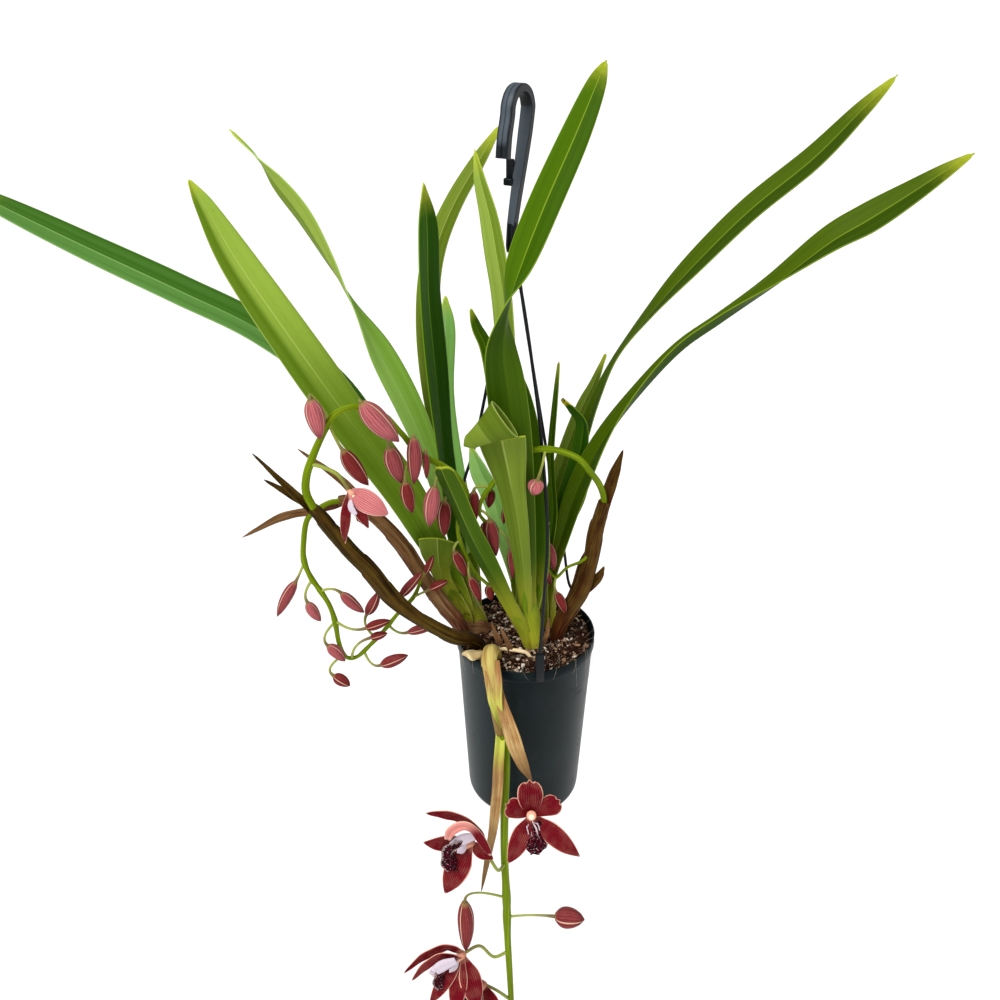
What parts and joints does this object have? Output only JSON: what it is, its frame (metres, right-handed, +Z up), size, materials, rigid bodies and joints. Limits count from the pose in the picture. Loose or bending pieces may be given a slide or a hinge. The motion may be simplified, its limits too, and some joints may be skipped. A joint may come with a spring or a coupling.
{
  "type": "potted orchid in a hanging pot",
  "caption": "Cymbidium orchid with strap leaves, arching flower sprays and dark red blooms, in a small plastic pot hung from a hooked three-strand hanger.",
  "frame": {"origin": "saddle of the hanger's hook, the highest point of the inside of its arch, where a rail carries it", "axes": "+Z up, -Y towards the front of the pot, where the long spray hangs over the rim, +X to the right seen from the front"},
  "size_m": [0.737, 0.2034, 0.9615],
  "materials": {
    "pot_plastic": "satin",
    "hanger_plastic": "satin",
    "bark": "matte",
    "leaf_green": "satin",
    "leaf_blue_green": "satin",
    "growth_green": "satin",
    "sheath_brown": "matte",
    "sheath_tan": "matte",
    "stem_green": "satin",
    "petal_burgundy": "satin",
    "lip_maroon": "satin"
  },
  "bodies": {
    "root": {"growth_left": "growth_green", "leaf_left_cut_wide": "leaf_green", "leaf_left_broad": "leaf_green", "leaf_left_upright": "leaf_green", "leaf_left_long": "leaf_blue_green", "leaf_left_twisted": "leaf_green", "leaf_left_short": "leaf_blue_green", "leaf_left_back": "leaf_green", "growth_middle": "growth_green", "leaf_middle_cut_narrow": "leaf_green", "leaf_middle_curled": "leaf_green", "leaf_middle_tall": "leaf_green", "leaf_middle_right": "leaf_green", "leaf_middle_small": "leaf_green", "leaf_middle_back": "leaf_green", "leaf_middle_low": "leaf_blue_green", "growth_right": "growth_green", "leaf_right_thin": "leaf_green", "leaf_right_low": "leaf_green", "leaf_right_short": "leaf_green", "leaf_right_hooked": "leaf_green", "leaf_right_high": "leaf_green", "leaf_right_dark": "leaf_green", "raceme_left_upper": "stem_green", "raceme_left_lower": "stem_green", "raceme_right": "stem_green", "raceme_middle": "stem_green", "raceme_front": "stem_green", "stalk_left_upper": "sheath_brown", "stalk_left_lower": "sheath_brown", "stalk_right": "sheath_brown", "stalk_front": "sheath_tan", "bloom_front": "petal_burgundy", "lip_front": "lip_maroon", "bloom_left": "petal_burgundy", "lip_left": "lip_maroon", "bloom_lower": "petal_burgundy", "lip_lower": "lip_maroon", "bloom_lowest_left": "petal_burgundy", "lip_lowest_left": "lip_maroon", "bloom_lowest_right": "petal_burgundy", "lip_lowest_right": "lip_maroon", "bloom_upper": "petal_burgundy", "lip_upper": "lip_maroon", "dried_sheath": "sheath_tan", "old_cut_bulb": "sheath_tan", "aerial_root": "sheath_tan", "potting_bark": "bark", "pot": "pot_plastic", "hanger_strand_front": "hanger_plastic", "hanger_strand_right": "hanger_plastic", "hanger_strand_left": "hanger_plastic", "hanger_hook": "hanger_plastic"}
  },
  "joints": []
}
